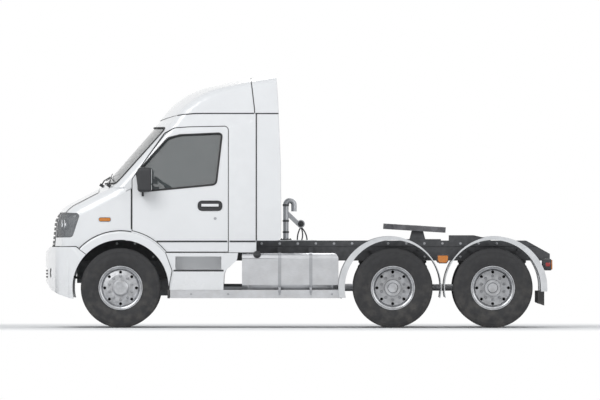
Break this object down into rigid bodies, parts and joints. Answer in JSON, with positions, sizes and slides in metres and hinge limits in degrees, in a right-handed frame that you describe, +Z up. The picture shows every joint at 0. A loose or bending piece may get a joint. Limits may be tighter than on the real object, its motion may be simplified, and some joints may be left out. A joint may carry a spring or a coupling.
{
  "type": "semi truck tractor unit",
  "caption": "Tractor unit for semi-trailers with a short bonnet, a roof fairing, opening doors, steered front wheels and a tilting fifth wheel.",
  "frame": {"origin": "on the ground, in the middle of the vehicle's length and width", "axes": "+X to the rear, -Y to the driver's side, +Z up"},
  "size_m": [6.858, 2.8, 3.4336],
  "materials": {
    "paint": "gloss white paint",
    "chassis_steel": "satin black chassis paint",
    "tyre": "black tyre rubber",
    "wheel_silver": "silver wheel paint",
    "glass": "tinted safety glass",
    "lamp_clear": "clear lamp lens",
    "lamp_red": "red lamp lens",
    "lamp_amber": "amber lamp lens",
    "aluminium": "brushed tank aluminium",
    "guard_silver": "anodised guard bar",
    "black_plastic": "grained black plastic",
    "mudguard_white": "moulded white mudguard",
    "rubber": "moulded rubber",
    "engine_grey": "painted casting",
    "shaft_steel": "bare steel",
    "tread_plate": "chequered walkway plate",
    "mirror_glass": "silvered mirror",
    "chrome": "bright reflector",
    "plate_steel": "worn cast plate",
    "hose": "hose rubber",
    "seat_fabric": "dark woven cloth",
    "fascia_plastic": "grained fascia"
  },
  "bodies": {
    "chassis": {"cab_shell": "paint", "roof_fairing": "paint", "side_deflectors": "paint", "front_wings": "paint", "front_bumper": "paint", "cab_steps": "paint", "arch_flares": "paint", "frame_rails": "chassis_steel", "cross_members": "chassis_steel", "chassis_brackets": "chassis_steel", "front_axle": "chassis_steel", "leaf_springs": "chassis_steel", "drive_axles": "chassis_steel", "fifth_wheel_base": "chassis_steel", "pickup_ramps": "chassis_steel", "windscreen": "glass", "headlamps": "lamp_clear", "tail_lamps": "lamp_red", "marker_lamps": "lamp_amber", "fuel_tanks": "aluminium", "side_guards": "guard_silver", "grille": "black_plastic", "rear_mudguards": "mudguard_white", "mud_flaps": "rubber", "air_springs": "rubber", "engine": "engine_grey", "propeller_shafts": "shaft_steel", "hose_stand": "shaft_steel", "deck_plate": "tread_plate", "air_hoses": "hose", "seats": "seat_fabric", "dashboard": "fascia_plastic", "steering_wheel": "fascia_plastic"},
    "steering_left": {"knuckle_left": "chassis_steel"},
    "steering_right": {"knuckle_right": "chassis_steel"},
    "wheel_front_left": {"front_tyre_left": "tyre", "front_rim_left": "wheel_silver"},
    "wheel_front_right": {"front_tyre_right": "tyre", "front_rim_right": "wheel_silver"},
    "wheels_drive_front_left": {"drive_tyres_front_left": "tyre", "drive_rims_front_left": "wheel_silver"},
    "wheels_drive_front_right": {"drive_tyres_front_right": "tyre", "drive_rims_front_right": "wheel_silver"},
    "wheels_drive_rear_left": {"drive_tyres_rear_left": "tyre", "drive_rims_rear_left": "wheel_silver"},
    "wheels_drive_rear_right": {"drive_tyres_rear_right": "tyre", "drive_rims_rear_right": "wheel_silver"},
    "left_door": {"door_left": "paint", "door_glass_left": "glass", "mirror_left": "black_plastic"},
    "right_door": {"door_right": "paint", "door_glass_right": "glass", "mirror_right": "black_plastic"},
    "bonnet_lid": {"bonnet": "paint"},
    "coupling_plate": {"fifth_wheel_plate": "plate_steel"}
  },
  "joints": [
    {"name": "steer_left", "type": "hinge", "parent": "chassis", "child": "steering_left", "pos_m": [-2.402, -0.85, 0.538], "axis": [0, 0, 1], "range_deg": [-40, 40]},
    {"name": "roll_front_left", "type": "hinge", "parent": "steering_left", "child": "wheel_front_left", "pos_m": [-2.402, -1.04, 0.538], "axis": [0, 1, 0], "continuous": true},
    {"name": "steer_right", "type": "hinge", "parent": "chassis", "child": "steering_right", "pos_m": [-2.402, 0.85, 0.538], "axis": [0, 0, 1], "range_deg": [-40, 40]},
    {"name": "roll_front_right", "type": "hinge", "parent": "steering_right", "child": "wheel_front_right", "pos_m": [-2.402, 1.04, 0.538], "axis": [0, 1, 0], "continuous": true},
    {"name": "roll_drive_front_left", "type": "hinge", "parent": "chassis", "child": "wheels_drive_front_left", "pos_m": [1.273, -0.917, 0.538], "axis": [0, 1, 0], "continuous": true},
    {"name": "roll_drive_front_right", "type": "hinge", "parent": "chassis", "child": "wheels_drive_front_right", "pos_m": [1.273, 0.917, 0.538], "axis": [0, 1, 0], "continuous": true},
    {"name": "roll_drive_rear_left", "type": "hinge", "parent": "chassis", "child": "wheels_drive_rear_left", "pos_m": [2.623, -0.917, 0.538], "axis": [0, 1, 0], "continuous": true},
    {"name": "roll_drive_rear_right", "type": "hinge", "parent": "chassis", "child": "wheels_drive_rear_right", "pos_m": [2.623, 0.917, 0.538], "axis": [0, 1, 0], "continuous": true},
    {"name": "door_left_hinge", "type": "hinge", "parent": "chassis", "child": "left_door", "pos_m": [-2.2395, -1.137, 1.5], "axis": [0, 0, 1], "range_deg": [-70, 0]},
    {"name": "door_right_hinge", "type": "hinge", "parent": "chassis", "child": "right_door", "pos_m": [-2.2395, 1.137, 1.5], "axis": [0, 0, 1], "range_deg": [0, 70]},
    {"name": "bonnet_hinge", "type": "hinge", "parent": "chassis", "child": "bonnet_lid", "pos_m": [-2.704, 0, 1.886], "axis": [0, 1, 0], "range_deg": [0, 50]},
    {"name": "plate_tilt", "type": "hinge", "parent": "chassis", "child": "coupling_plate", "pos_m": [1.613, 0, 1.29], "axis": [0, 1, 0], "range_deg": [-15.5, 8.5]}
  ],
  "couplings": [
    {"joint": "steer_right", "follows": "steer_left", "ratio": 1}
  ]
}
